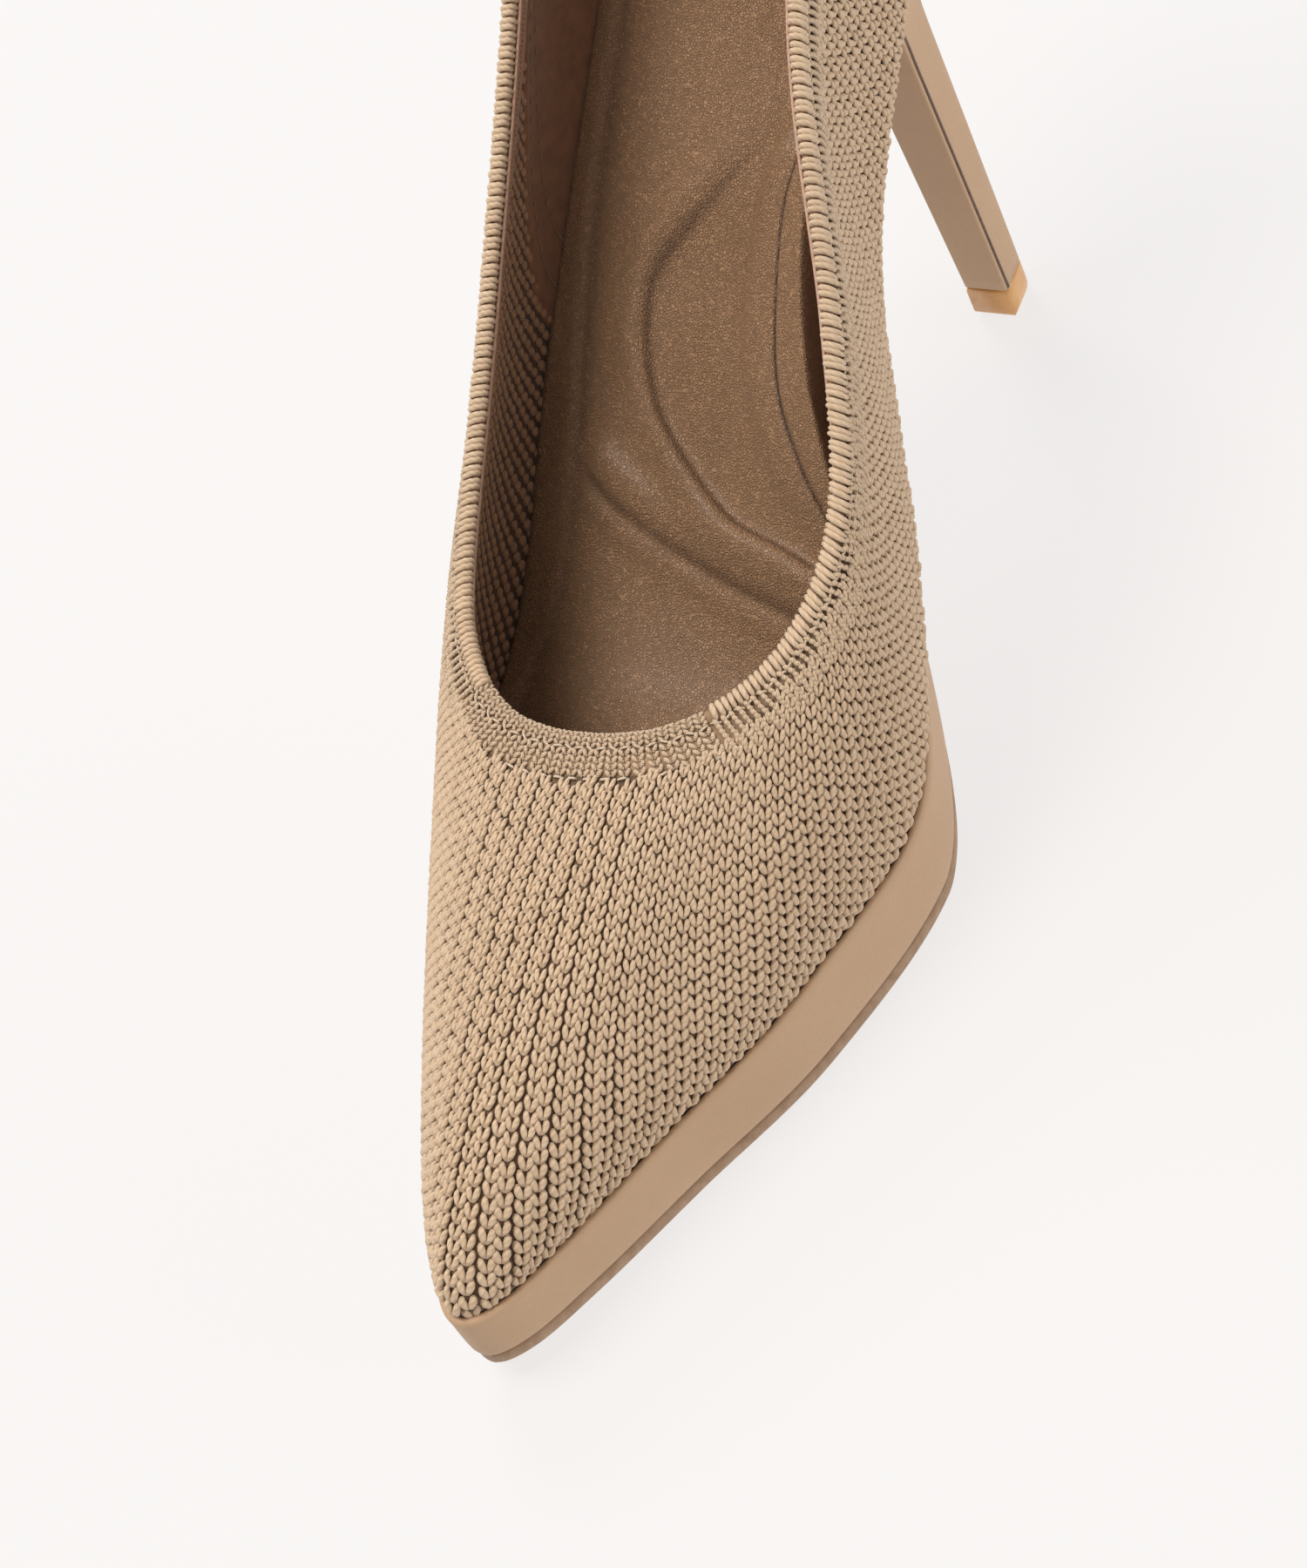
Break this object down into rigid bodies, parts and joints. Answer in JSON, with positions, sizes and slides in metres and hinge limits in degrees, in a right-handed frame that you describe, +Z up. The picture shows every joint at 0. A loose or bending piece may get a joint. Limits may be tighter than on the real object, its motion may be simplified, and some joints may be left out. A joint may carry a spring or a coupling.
{
  "type": "high heel pump",
  "caption": "Pointed-toe platform stiletto pump for a right foot, knitted upper with a ribbed collar, leather-look footbed, platform wrap and slim covered heel.",
  "frame": {"origin": "middle of the shoe's footprint box, on the surface it stands on", "axes": "+Z up, +Y from the toe to the heel, +X towards the medial (arch) side"},
  "size_m": [0.0778, 0.238, 0.1724],
  "materials": {
    "knit": "ribbed and eyelet knit yarn, matte tan",
    "rib": "dense ribbed knit, matte tan",
    "lining": "knitted lining, matte brown",
    "tape": "smooth elastic tape, matte brown",
    "suede": "micro-suede, matte dark brown",
    "leather": "fine-grained footbed cover, satin",
    "wrap": "smooth covering leather, satin",
    "sole": "outsole sheet, satin",
    "board": "fibreboard",
    "foam": "foam and light core material",
    "steel": "plain steel",
    "plastic": "moulded plastic",
    "lift": "amber heel-tip plastic, slightly translucent"
  },
  "bodies": {
    "root": {"outsole": "sole", "platform_core": "foam", "platform_wrap": "wrap", "knit_upper": "knit", "insole_board": "board", "bottom_filler": "foam", "steel_shank": "steel", "shank_rivet_front": "steel", "shank_rivet_rear": "steel", "forefoot_pad": "foam", "arch_cookie": "foam", "heel_pad": "foam", "sock_cover": "leather", "collar_rib": "rib", "toe_puff": "board", "heel_counter": "plastic", "vamp_lining": "lining", "quarter_lining_medial": "lining", "quarter_lining_lateral": "lining", "heel_grip": "suede", "topline_tape": "tape", "heel_block": "plastic", "heel_cover": "wrap", "heel_breast_cover": "wrap", "heel_tube": "steel", "heel_lift": "lift", "lift_pin": "steel", "heel_screw": "steel", "heel_nail_1": "steel", "heel_nail_2": "steel", "heel_nail_3": "steel", "heel_nail_4": "steel"}
  },
  "joints": []
}
